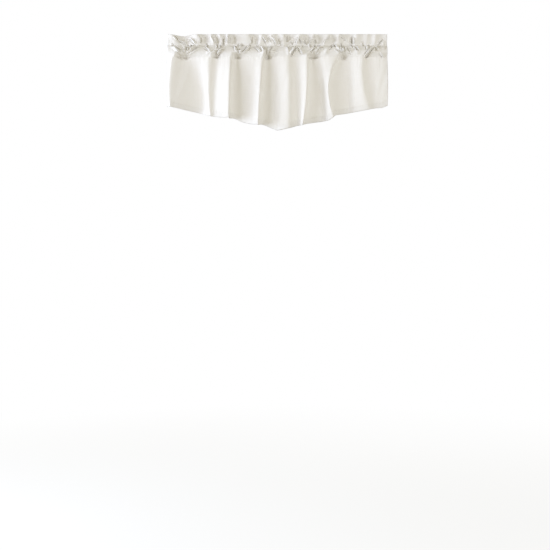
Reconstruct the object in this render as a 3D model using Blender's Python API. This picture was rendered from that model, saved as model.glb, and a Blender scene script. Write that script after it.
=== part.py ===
"""A window valance: cotton cloth gathered along a curtain rod, with a lower edge cut to a point.

The top of the cloth is doubled and sewn across twice, which makes a frill and, below it, an open pocket for
the rod. The single cloth below the pocket falls in soft folds, deepest at the middle of the window.

Metres, +Z up, +X to the right and +Y towards the wall. The origin is the middle of the top edge.
"""

from collections import namedtuple

import bpy
import numpy as np

MM = 0.001

# Driving dimensions.
WIDTH = 0.873  # hung width along the rod
DROP_SIDE = 0.286  # top edge to hem at the two sides
DROP_POINT = 0.381  # top edge to hem at the middle point
FRILL_HEIGHT = 0.045  # top edge to the upper row of stitching
POCKET_HEIGHT = 0.046  # between the two rows of stitching
POCKET_OPEN = 0.024  # the least that the pocket stands open from front to back
FRONT_RUFFLE = 0.3  # how much of the folds' depth shows on the pocket's front
BACK_RUFFLE = 0.3  # and on its back
CLOTH = 0.0012  # one layer of cloth
LAYER_GAP = 0.0001  # between the two layers where they are sewn together
SEAM_GAP = 0.0003  # between the heading and the drop panel
TOP_DIP = 0.008  # how far the top edge sags beside the left end
TOP_DIP_X = -0.372
TOP_DIP_HALF_WIDTH = 0.055
TOP_LEAN = 0.3  # how far the top edge rises where a fold carries it back towards the wall, for each metre

STITCH_Z = -FRILL_HEIGHT
SEAM_Z = STITCH_Z - POCKET_HEIGHT

# How finely the cloth is divided.
STEPS_PER_LINE = 3  # columns between two neighbouring fold lines
PANEL_ROWS = 8
POCKET_LEVELS = (0.0, 0.12, 0.33, 0.67, 0.88, 1.0)  # shares of the way down the pocket
FRILL_LEVELS = (0.35, 0.68, 0.965)  # shares of the way up the frill
TIP_SHARE = 0.035  # where the pocket's hollow ends, as a share of its height

# The fold lines of the drop panel, left to right, in millimetres. A crest stands out towards the room (-y)
# and a trough lies back. Where a line's x is less than its left neighbour's, the cloth tucks under a crest.
# lift is how far the gathering raises the hem there above its straight cut.
FoldLine = namedtuple("FoldLine", "name x_seam x_mid x_hem y_seam y_mid y_hem lift")
FOLD_LINES = [
    FoldLine("left_edge", -434, -436, -437, 4, 14, 18, 3),
    FoldLine("left_crest", -411, -427, -423, -12, -15, -17, 0),
    FoldLine("left_crease", -369, -381, -405, 6, -5, -12, 1),
    FoldLine("left_trough", -338, -304, -298, 3, 12, 12, 4),
    FoldLine("crest_1", -265, -271, -263, -14, -13, -12, -2),
    FoldLine("dip_1", -241, -249, -252, -6, -7, -9, -1),
    FoldLine("rise_2", -207, -215, -219, -13, -20, -19, 1),
    FoldLine("crest_2", -181, -186, -188, -17, -30, -31, 6),
    FoldLine("under_2", -174, -187, -189, -5, -8, -8, 7),
    FoldLine("trough_2", -164, -172, -172, 5, 8, 6, 11),
    FoldLine("dip_2", -136, -134, -132, -3, 2, 1, 3),
    FoldLine("rise_3", -89, -95, -101, -12, -11, -14, 1),
    FoldLine("crest_3", -55, -68, -74, -16, -27, -29, 3),
    FoldLine("under_3", -49, -69, -76, -4, -7, -7, 6),
    FoldLine("trough_3", -40, -53, -58, 6, 8, 7, 12),
    FoldLine("dip_3", -14, -16, -22, -2, 3, 1, 4),
    FoldLine("point", 2, 1, 0, -8, -6, -6, 0),
    FoldLine("rise_4", 20, 18, 17, -13, -15, -15, -3),
    FoldLine("crest_4", 45, 47, 47, -15, -23, -21, -4),
    FoldLine("dip_4", 67, 75, 79, -3, -6, -4, 1),
    FoldLine("crest_5", 118, 116, 100, -14, -25, -24, -4),
    FoldLine("under_5", 125, 117, 101, -4, -6, -6, 0),
    FoldLine("trough_5", 135, 132, 122, 6, 8, 8, 3),
    FoldLine("trough_6", 160, 172, 180, -1, 7, 7, -2),
    FoldLine("shoulder_6", 188, 190, 203, -12, -13, -16, -6),
    FoldLine("crest_6", 237, 201, 223, -12, -22, -24, 2),
    FoldLine("under_6", 244, 203, 224, -3, -6, -8, 6),
    FoldLine("hollow_6", 256, 219, 236, 6, 2, -2, 10),
    FoldLine("trough_7", 286, 280, 280, -2, 7, 5, 8),
    FoldLine("rise_7", 310, 306, 312, -11, -10, -10, 4),
    FoldLine("crest_7", 338, 336, 361, -15, -20, -20, 1),
    FoldLine("dip_7", 354, 359, 386, -4, -6, -9, 2),
    FoldLine("swell_8", 397, 401, 413, -8, -11, -12, -2),
    FoldLine("right_edge", 434, 436, 435, -5, -12, -12, 2),
]

# The fold lines of the frill, left to right, in millimetres: they lean between the stitching and the top.
FrillLine = namedtuple("FrillLine", "x_top x_stitch y_top y_stitch")
FRILL_LINES = [
    FrillLine(-434, -433, -2, -3),
    FrillLine(-415, -393, -8, -6),
    FrillLine(-403, -372, -1, -2),
    FrillLine(-380, -353, 9, 2),
    FrillLine(-350, -336, 5, -1),
    FrillLine(-313, -310, -9, -6),
    FrillLine(-299, -294, 6, 1),
    FrillLine(-278, -275, 5, 1),
    FrillLine(-261, -247, -7, -5),
    FrillLine(-247, -235, 4, 2),
    FrillLine(-225, -222, -7, -4),
    FrillLine(-211, -212, 4, 2),
    FrillLine(-193, -200, -8, -5),
    FrillLine(-178, -170, 6, 2),
    FrillLine(-156, -144, -1, -1),
    FrillLine(-112, -112, -9, -5),
    FrillLine(-98, -98, 6, 2),
    FrillLine(-79, -82, 5, 2),
    FrillLine(-61, -69, -8, -5),
    FrillLine(-43, -45, 1, 1),
    FrillLine(-20, -10, -7, -4),
    FrillLine(0, 6, 1, 2),
    FrillLine(23, 25, -8, -5),
    FrillLine(38, 40, 8, 3),
    FrillLine(61, 57, 5, 1),
    FrillLine(90, 80, -8, -5),
    FrillLine(117, 113, 6, 2),
    FrillLine(142, 128, -8, -5),
    FrillLine(157, 146, 7, 3),
    FrillLine(178, 166, 2, 0),
    FrillLine(204, 184, -7, -6),
    FrillLine(218, 209, 5, 2),
    FrillLine(244, 238, -9, -5),
    FrillLine(266, 261, 5, 2),
    FrillLine(293, 289, 8, 3),
    FrillLine(311, 308, -8, -5),
    FrillLine(336, 333, -1, 0),
    FrillLine(356, 350, -5, -3),
    FrillLine(370, 367, 0, 1),
    FrillLine(389, 383, -6, -5),
    FrillLine(406, 400, 2, 1),
    FrillLine(434, 434, -3, -3),
]

# Gathers across the front of the pocket: ridges, in millimetres, between two shares of the way down it.
Gather = namedtuple("Gather", "x_high x_low high low half_width height")
GATHERS = [
    Gather(-413, -389, 0.10, 0.75, 9, 7),
    Gather(-364, -372, 0.00, 0.60, 7, 5),
    Gather(-316, -347, 0.05, 0.60, 9, 7),
    Gather(-258, -276, 0.10, 0.95, 12, 4),
    Gather(-205, -237, 0.10, 0.95, 9, 7),
    Gather(-158, -166, 0.05, 0.60, 8, 5),
    Gather(-113, -138, 0.08, 0.62, 10, 7),
    Gather(-62, -51, 0.00, 0.95, 9, 5),
    Gather(-25, -40, 0.08, 0.60, 8, 6),
    Gather(35, 47, 0.10, 0.95, 9, 5),
    Gather(71, 49, 0.10, 0.88, 9, 7),
    Gather(85, 107, 0.15, 0.96, 10, 6),
    Gather(176, 146, 0.08, 0.60, 9, 6),
    Gather(196, 190, 0.00, 0.95, 14, 6),
    Gather(235, 249, 0.00, 0.65, 9, 7),
    Gather(273, 262, 0.10, 0.60, 8, 5),
    Gather(305, 318, 0.00, 0.95, 10, 5),
    Gather(378, 344, 0.04, 1.00, 9, 7),
    Gather(385, 394, 0.04, 0.65, 8, 4),
]

COTTON_COLOUR = (0.87, 0.83, 0.75, 1.0)
COTTON_ROUGHNESS = 0.85


def smooth_through(points, steps):
    """A centripetal Catmull-Rom curve through the points, with the given number of steps between two."""
    points = np.asarray(points, float)
    run = [2 * points[0] - points[1], *points, 2 * points[-1] - points[-2]]
    curve = []
    for p0, p1, p2, p3 in zip(run, run[1:], run[2:], run[3:]):
        t0 = 0.0
        t1 = t0 + np.linalg.norm(p1 - p0) ** 0.5
        t2 = t1 + np.linalg.norm(p2 - p1) ** 0.5
        t3 = t2 + np.linalg.norm(p3 - p2) ** 0.5
        for t in np.linspace(t1, t2, steps, endpoint=False):
            a1 = ((t1 - t) * p0 + (t - t0) * p1) / (t1 - t0)
            a2 = ((t2 - t) * p1 + (t - t1) * p2) / (t2 - t1)
            a3 = ((t3 - t) * p2 + (t - t2) * p3) / (t3 - t2)
            b1 = ((t2 - t) * a1 + (t - t0) * a2) / (t2 - t0)
            b2 = ((t3 - t) * a2 + (t - t1) * a3) / (t3 - t1)
            curve.append(((t2 - t) * b1 + (t - t1) * b2) / (t2 - t1))
    curve.append(points[-1])
    return np.array(curve)


def ease(share):
    """0 to 1 with no slope at either end."""
    share = np.clip(share, 0.0, 1.0)
    return share * share * (3 - 2 * share)


def panel_section(down):
    """The panel's (x, y) curve at a share of the way down from the seam to the hem."""
    seam, mid, hem = (2 * down - 1) * (down - 1), 4 * down * (1 - down), down * (2 * down - 1)
    lines = [
        (
            seam * line.x_seam + mid * line.x_mid + hem * line.x_hem,
            seam * line.y_seam + mid * line.y_mid + hem * line.y_hem,
        )
        for line in FOLD_LINES
    ]
    return smooth_through(np.array(lines) * MM, STEPS_PER_LINE)


def hem_heights():
    """The hem's z at each column: a straight cut from each side to the point, raised by each line's lift."""
    x = panel_section(1.0)[:, 0]
    cut = DROP_POINT - (DROP_POINT - DROP_SIDE) * abs(x) / (WIDTH / 2)
    lifts = [line.lift * MM for line in FOLD_LINES]
    return np.interp(np.arange(len(x)) / STEPS_PER_LINE, np.arange(len(lifts)), lifts) - cut


def seam_wave(x):
    """How far the lower row of stitching stands from the rod's plane at x."""
    curve = panel_section(0.0)
    return np.interp(x, curve[:, 0], curve[:, 1])


def frill_section(up):
    """The frill's (x, y) curve at a share of the way up from the stitching to the top edge."""
    spread = ease(up)
    lines = [
        (
            (1 - up) * line.x_stitch + up * line.x_top,
            (1 - spread) * line.y_stitch + spread * line.y_top,
        )
        for line in FRILL_LINES
    ]
    return smooth_through(np.array(lines) * MM, STEPS_PER_LINE)


def gather_ridges(x, down):
    """How far the gathers lift the pocket's front at x, at a share of the way down the pocket."""
    lift = np.zeros_like(x)
    for gather in GATHERS:
        share = (down - gather.high) / (gather.low - gather.high)
        if 0 < share < 1:
            centre = (gather.x_high + (gather.x_low - gather.x_high) * share) * MM
            across = np.clip(abs(x - centre) / (gather.half_width * MM), 0, 1)
            fade = ease(min(share, 1 - share) * 3)
            lift += gather.height * MM * fade * np.cos(across * np.pi / 2) ** 2
    return lift


def pocket_layers(down):
    """(x, front y, back y) of the pocket's two layers at a share of the way down between its stitching."""
    x, stitch = frill_section(0.0).T
    wave = (1 - ease(down)) * stitch + ease(down) * seam_wave(x)
    rise = 2 * down - 1
    belly = 1 - abs(rise) ** 2.5
    front_belly = belly if rise < 0 else (1 - rise * rise) ** 2
    near = -POCKET_OPEN / 2 - FRONT_RUFFLE * (wave.max() - wave)
    far = POCKET_OPEN / 2 + BACK_RUFFLE * (wave - wave.min())
    flat = (CLOTH + LAYER_GAP) / 2
    front = (1 - front_belly) * wave + front_belly * near - flat - gather_ridges(x, down)
    back = (1 - belly) * wave + belly * far + flat
    return x, front, back


def top_edge(x):
    """The height of the top edge at each column: higher in a fold's trough, with one shallow sag."""
    across = np.clip(abs(x - TOP_DIP_X) / TOP_DIP_HALF_WIDTH, 0, 1)
    return TOP_LEAN * frill_section(1.0)[:, 1] - TOP_DIP * np.cos(across * np.pi / 2) ** 2


def heading_rings():
    """The heading's outer and inner rings, each as an array of (columns, points, xyz).

    The outer ring climbs the front from the seam, passes over the top edge and comes down the back. The
    inner ring goes round the pocket's hollow.
    """
    half = CLOTH / 2
    front, back, inner_front, inner_back = [], [], [], []
    for down in reversed(POCKET_LEVELS):
        x, near, far = pocket_layers(down)
        z = np.full_like(x, STITCH_Z - POCKET_HEIGHT * down)
        front.append(np.stack([x, near - half, z], axis=1))
        back.append(np.stack([x, far + half, z], axis=1))
        if 0 < down < 1:
            inner_front.append(np.stack([x, near + half, z], axis=1))
            inner_back.append(np.stack([x, far - half, z], axis=1))
    both = CLOTH + LAYER_GAP / 2
    for up in FRILL_LEVELS:
        x, y = frill_section(up).T
        z = STITCH_Z + (FRILL_HEIGHT + top_edge(x)) * up
        front.append(np.stack([x, y - both, z], axis=1))
        back.append(np.stack([x, y + both, z], axis=1))
    x, y = frill_section(1.0).T
    crown = np.stack([x, y, top_edge(x)], axis=1)
    tips = []
    for down in (1 - TIP_SHARE, TIP_SHARE):
        x, near, far = pocket_layers(down)
        tips.append(np.stack([x, (near + far) / 2, np.full_like(x, STITCH_Z - POCKET_HEIGHT * down)], axis=1))
    outer = np.stack([*front, crown, *reversed(back)], axis=1)
    inner = np.stack([tips[0], *inner_front, tips[1], *reversed(inner_back)], axis=1)
    return outer, inner


def heading_cap(outer, inner):
    """The faces of the left end of the heading, from the indices of its two rings there."""
    outer, inner = list(outer), list(inner)
    levels = len(POCKET_LEVELS)
    hollow = levels - 2
    faces = [(outer[0], inner[0], outer[-1])]
    front_wall = inner[: hollow + 2]
    back_wall = [inner[0], *reversed(inner[hollow + 1 :])]
    back = list(reversed(outer))
    for k in range(levels - 1):
        faces.append((outer[k], outer[k + 1], front_wall[k + 1], front_wall[k]))
        faces.append((back[k + 1], back[k], back_wall[k], back_wall[k + 1]))
    top_tip = inner[hollow + 1]
    faces.append((outer[levels - 1], back[levels - 1], top_tip))
    for k in range(levels - 1, levels - 1 + len(FRILL_LEVELS)):
        faces.append((outer[k], outer[k + 1], back[k + 1], back[k]))
    crown = levels + len(FRILL_LEVELS)
    faces.append((outer[crown - 1], outer[crown], back[crown - 1]))
    return faces


def tube_faces(rings):
    """Quads that join neighbouring closed rings, from an array of indices (columns, points)."""
    ahead = np.roll(rings, -1, axis=1)
    quads = np.stack([rings[:-1], rings[1:], ahead[1:], ahead[:-1]], axis=2)
    return [tuple(quad) for quad in quads.reshape(-1, 4).tolist()]


def cotton():
    """Plain woven natural cotton."""
    material = bpy.data.materials.new("natural_cotton")
    material.use_nodes = True
    shader = material.node_tree.nodes["Principled BSDF"]
    shader.inputs["Base Color"].default_value = COTTON_COLOUR
    shader.inputs["Roughness"].default_value = COTTON_ROUGHNESS
    shader.inputs["Metallic"].default_value = 0.0
    return material


def cloth_object(name, points, faces, material):
    """A smooth-shaded object from points and faces."""
    mesh = bpy.data.meshes.new(name)
    mesh.from_pydata(points, [], faces)
    mesh.validate()
    mesh.shade_smooth()
    mesh.materials.append(material)
    made = bpy.data.objects.new(name, mesh)
    bpy.context.collection.objects.link(made)
    return made


def make_heading(material):
    """The gathered heading: the frill's doubled cloth and the two layers of the rod pocket."""
    outer, inner = heading_rings()
    columns = len(outer)
    outer_ids = np.arange(columns * outer.shape[1]).reshape(columns, -1)
    inner_ids = outer_ids.size + np.arange(columns * inner.shape[1]).reshape(columns, -1)
    points = np.concatenate([outer.reshape(-1, 3), inner.reshape(-1, 3)]).tolist()
    faces = tube_faces(outer_ids) + [face[::-1] for face in tube_faces(inner_ids)]
    faces += heading_cap(outer_ids[0], inner_ids[0])
    faces += [face[::-1] for face in heading_cap(outer_ids[-1], inner_ids[-1])]
    return cloth_object("heading", points, faces, material)


def make_drop_panel(material):
    """The single cloth below the seam, as a mid-surface with its thickness added by Solidify."""
    top, hem = SEAM_Z - SEAM_GAP, hem_heights()
    rows = []
    for down in np.linspace(0.0, 1.0, PANEL_ROWS + 1):
        x, y = panel_section(down).T
        rows.append(np.stack([x, y, top + (hem - top) * down], axis=1))
    grid = np.stack(rows)
    ids = np.arange(grid.shape[0] * grid.shape[1]).reshape(grid.shape[:2])
    quads = np.stack([ids[:-1, :-1], ids[1:, :-1], ids[1:, 1:], ids[:-1, 1:]], axis=2).reshape(-1, 4)
    panel = cloth_object("drop_panel", grid.reshape(-1, 3).tolist(), quads.tolist(), material)
    thicken = panel.modifiers.new("cloth_thickness", "SOLIDIFY")
    thicken.thickness = CLOTH
    thicken.offset = 0.0
    return panel


def main():
    for leftover in list(bpy.data.objects):
        bpy.data.objects.remove(leftover, do_unlink=True)
    material = cotton()
    make_heading(material)
    make_drop_panel(material)


main()
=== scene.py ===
"""A gathered window valance in cream cotton duck, dressed for a studio view.

The cloth hangs from the rod pocket near its top. The heading is doubled cloth, sewn across twice, and is
built as one continuous sheet that climbs the front, turns over at the top edge and comes down the back. The
drop panel is single cloth with its sides and its pointed lower edge turned to the back and stitched.

Metres, +Z up, +X to the right and +Y towards the wall. The origin is the middle of the top edge.
"""

import logging
import math
from dataclasses import dataclass
from enum import Enum
from typing import Any, NamedTuple, Sequence

import bpy
import numpy as np
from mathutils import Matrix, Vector

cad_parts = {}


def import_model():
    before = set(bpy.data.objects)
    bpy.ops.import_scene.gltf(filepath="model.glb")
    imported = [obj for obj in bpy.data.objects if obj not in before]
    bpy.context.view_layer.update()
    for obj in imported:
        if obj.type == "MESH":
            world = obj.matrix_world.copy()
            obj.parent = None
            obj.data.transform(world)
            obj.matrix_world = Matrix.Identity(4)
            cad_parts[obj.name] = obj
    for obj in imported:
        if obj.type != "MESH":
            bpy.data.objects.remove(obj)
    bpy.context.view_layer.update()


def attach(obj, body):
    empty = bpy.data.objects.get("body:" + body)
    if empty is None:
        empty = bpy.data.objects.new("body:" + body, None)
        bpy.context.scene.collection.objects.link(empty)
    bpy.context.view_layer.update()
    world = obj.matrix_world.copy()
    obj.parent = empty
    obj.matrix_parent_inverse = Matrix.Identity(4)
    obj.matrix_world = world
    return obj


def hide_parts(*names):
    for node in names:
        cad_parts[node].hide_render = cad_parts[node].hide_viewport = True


LOG = logging.getLogger("valance")
MM = 0.001
BODY = "root"
TINY = 1e-12
# How many places on each fold line's stretch the seam is read at.
SEAM_READINGS = 40
# Every how many columns a sheet's length is measured.
LENGTH_STRIDE = 40


class FoldLine(NamedTuple):
    """One fold line of the drop panel, in millimetres, at the seam, halfway down and at the hem."""

    name: str
    x_seam: float
    x_mid: float
    x_hem: float
    y_seam: float
    y_mid: float
    y_hem: float
    lift: float


class FrillLine(NamedTuple):
    """One fold line of the frill, in millimetres, at the top edge and at the stitching."""

    x_top: float
    x_stitch: float
    y_top: float
    y_stitch: float


class Gather(NamedTuple):
    """A soft ridge across the pocket, in millimetres, between two shares of the way down it."""

    x_high: float
    x_low: float
    high: float
    low: float
    half_width: float
    height: float


# The side of a crease that its step falls back on: the lower right, away from the window's light.
STEP_TOWARDS = np.array([0.8, -0.6])
# How many of its widths away a crease no longer moves the cloth.
CREASE_MARGIN = 4
# How fast a crease deepens from its ends, and the share of that it starts with.
END_RISE = 4
END_SHARE = 0.12


class CreaseShape(NamedTuple):
    """How the cloth moves across a crease, in millimetres.

    It steps back by step as it crosses the line towards the lower right, or forward where step is negative.
    It sinks by groove along the line, or rises where groove is negative.
    """

    width: float
    step: float
    groove: float


class CreaseKind(Enum):
    """The creases that the gathering pinches in: three sunk lines, a raised one, and two broad hollows."""

    SLIT = CreaseShape(2.3, 6.0, 10.5)
    DARK = CreaseShape(2.1, 5.0, 7.5)
    FAINT = CreaseShape(2.4, 4.0, 3.0)
    RIDGE = CreaseShape(2.2, -6.0, -7.0)
    HOLLOW = CreaseShape(9.0, 6.0, 10.0)
    DIP = CreaseShape(8.0, 4.0, 4.0)


class Crease(NamedTuple):
    """A short straight crease in the heading's front, from one end to the other, in millimetres."""

    x0: float
    z0: float
    x1: float
    z1: float
    kind: CreaseKind


# A crest stands out towards the room (-y) and a trough lies back. Where a line's x is less than its left
# neighbour's, the cloth tucks under a crest. lift is how far the gathering raises the hem there.
FOLD_LINES: tuple[FoldLine, ...] = (
    FoldLine("left_edge", -434, -436, -437, 4, 14, 18, 3),
    FoldLine("left_crest", -411, -427, -423, -12, -15, -17, 0),
    FoldLine("left_crease", -369, -381, -405, 6, -5, -12, 1),
    FoldLine("left_trough", -338, -304, -298, 3, 12, 12, 4),
    FoldLine("crest_1", -265, -271, -263, -14, -13, -12, -2),
    FoldLine("dip_1", -241, -249, -252, -6, -7, -9, -1),
    FoldLine("rise_2", -207, -215, -219, -13, -20, -19, 1),
    FoldLine("crest_2", -181, -186, -188, -17, -30, -31, 6),
    FoldLine("under_2", -174, -187, -189, -5, -8, -8, 7),
    FoldLine("trough_2", -164, -172, -172, 5, 8, 6, 11),
    FoldLine("dip_2", -136, -134, -132, -3, 2, 1, 3),
    FoldLine("rise_3", -89, -95, -101, -12, -11, -14, 1),
    FoldLine("crest_3", -55, -68, -74, -16, -27, -29, 3),
    FoldLine("under_3", -49, -69, -76, -4, -7, -7, 6),
    FoldLine("trough_3", -40, -53, -58, 6, 8, 7, 12),
    FoldLine("dip_3", -14, -16, -22, -2, 3, 1, 4),
    FoldLine("point", 2, 1, 0, -8, -6, -6, 0),
    FoldLine("rise_4", 20, 18, 17, -13, -15, -15, -3),
    FoldLine("crest_4", 45, 47, 47, -15, -23, -21, -4),
    FoldLine("dip_4", 67, 75, 79, -3, -6, -4, 1),
    FoldLine("crest_5", 118, 116, 100, -14, -25, -24, -4),
    FoldLine("under_5", 125, 117, 101, -4, -6, -6, 0),
    FoldLine("trough_5", 135, 132, 122, 6, 8, 8, 3),
    FoldLine("trough_6", 160, 172, 180, -1, 7, 7, -2),
    FoldLine("shoulder_6", 188, 190, 203, -12, -13, -16, -6),
    FoldLine("crest_6", 237, 201, 223, -12, -22, -24, 2),
    FoldLine("under_6", 244, 203, 224, -3, -6, -8, 6),
    FoldLine("hollow_6", 256, 219, 236, 6, 2, -2, 10),
    FoldLine("trough_7", 286, 280, 280, -2, 7, 5, 8),
    FoldLine("rise_7", 310, 306, 312, -11, -10, -10, 4),
    FoldLine("crest_7", 338, 336, 361, -15, -20, -20, 1),
    FoldLine("dip_7", 354, 359, 386, -4, -6, -9, 2),
    FoldLine("swell_8", 397, 401, 413, -8, -11, -12, -2),
    FoldLine("right_edge", 434, 436, 435, -5, -12, -12, 2),
)

# The frill's folds lean between the stitching and the top edge.
FRILL_LINES: tuple[FrillLine, ...] = (
    FrillLine(-434, -433, -2, -3),
    FrillLine(-415, -393, -8, -6),
    FrillLine(-403, -372, -1, -2),
    FrillLine(-380, -353, 9, 2),
    FrillLine(-350, -336, 5, -1),
    FrillLine(-313, -310, -9, -6),
    FrillLine(-299, -294, 6, 1),
    FrillLine(-278, -275, 5, 1),
    FrillLine(-261, -247, -7, -5),
    FrillLine(-247, -235, 4, 2),
    FrillLine(-225, -222, -7, -4),
    FrillLine(-211, -212, 4, 2),
    FrillLine(-193, -200, -8, -5),
    FrillLine(-178, -170, 6, 2),
    FrillLine(-156, -144, -1, -1),
    FrillLine(-112, -112, -9, -5),
    FrillLine(-98, -98, 6, 2),
    FrillLine(-79, -82, 5, 2),
    FrillLine(-61, -69, -8, -5),
    FrillLine(-43, -45, 1, 1),
    FrillLine(-20, -10, -7, -4),
    FrillLine(0, 6, 1, 2),
    FrillLine(23, 25, -8, -5),
    FrillLine(38, 40, 8, 3),
    FrillLine(61, 57, 5, 1),
    FrillLine(90, 80, -8, -5),
    FrillLine(117, 113, 6, 2),
    FrillLine(142, 128, -8, -5),
    FrillLine(157, 146, 7, 3),
    FrillLine(178, 166, 2, 0),
    FrillLine(204, 184, -7, -6),
    FrillLine(218, 209, 5, 2),
    FrillLine(244, 238, -9, -5),
    FrillLine(266, 261, 5, 2),
    FrillLine(293, 289, 8, 3),
    FrillLine(311, 308, -8, -5),
    FrillLine(336, 333, -1, 0),
    FrillLine(356, 350, -5, -3),
    FrillLine(370, 367, 0, 1),
    FrillLine(389, 383, -6, -5),
    FrillLine(406, 400, 2, 1),
    FrillLine(434, 434, -3, -3),
)

GATHERS: tuple[Gather, ...] = (
    Gather(-413, -389, 0.10, 0.75, 9, 7),
    Gather(-364, -372, 0.00, 0.60, 7, 5),
    Gather(-316, -347, 0.05, 0.60, 9, 7),
    Gather(-258, -276, 0.10, 0.95, 12, 4),
    Gather(-205, -237, 0.10, 0.95, 9, 7),
    Gather(-158, -166, 0.05, 0.60, 8, 5),
    Gather(-113, -138, 0.08, 0.62, 10, 7),
    Gather(-62, -51, 0.00, 0.95, 9, 5),
    Gather(-25, -40, 0.08, 0.60, 8, 6),
    Gather(35, 47, 0.10, 0.95, 9, 5),
    Gather(71, 49, 0.10, 0.88, 9, 7),
    Gather(85, 107, 0.15, 0.96, 10, 6),
    Gather(176, 146, 0.08, 0.60, 9, 6),
    Gather(196, 190, 0.00, 0.95, 14, 6),
    Gather(235, 249, 0.00, 0.65, 9, 7),
    Gather(273, 262, 0.10, 0.60, 8, 5),
    Gather(305, 318, 0.00, 0.95, 10, 5),
    Gather(378, 344, 0.04, 1.00, 9, 7),
    Gather(385, 394, 0.04, 0.65, 8, 4),
)

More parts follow.
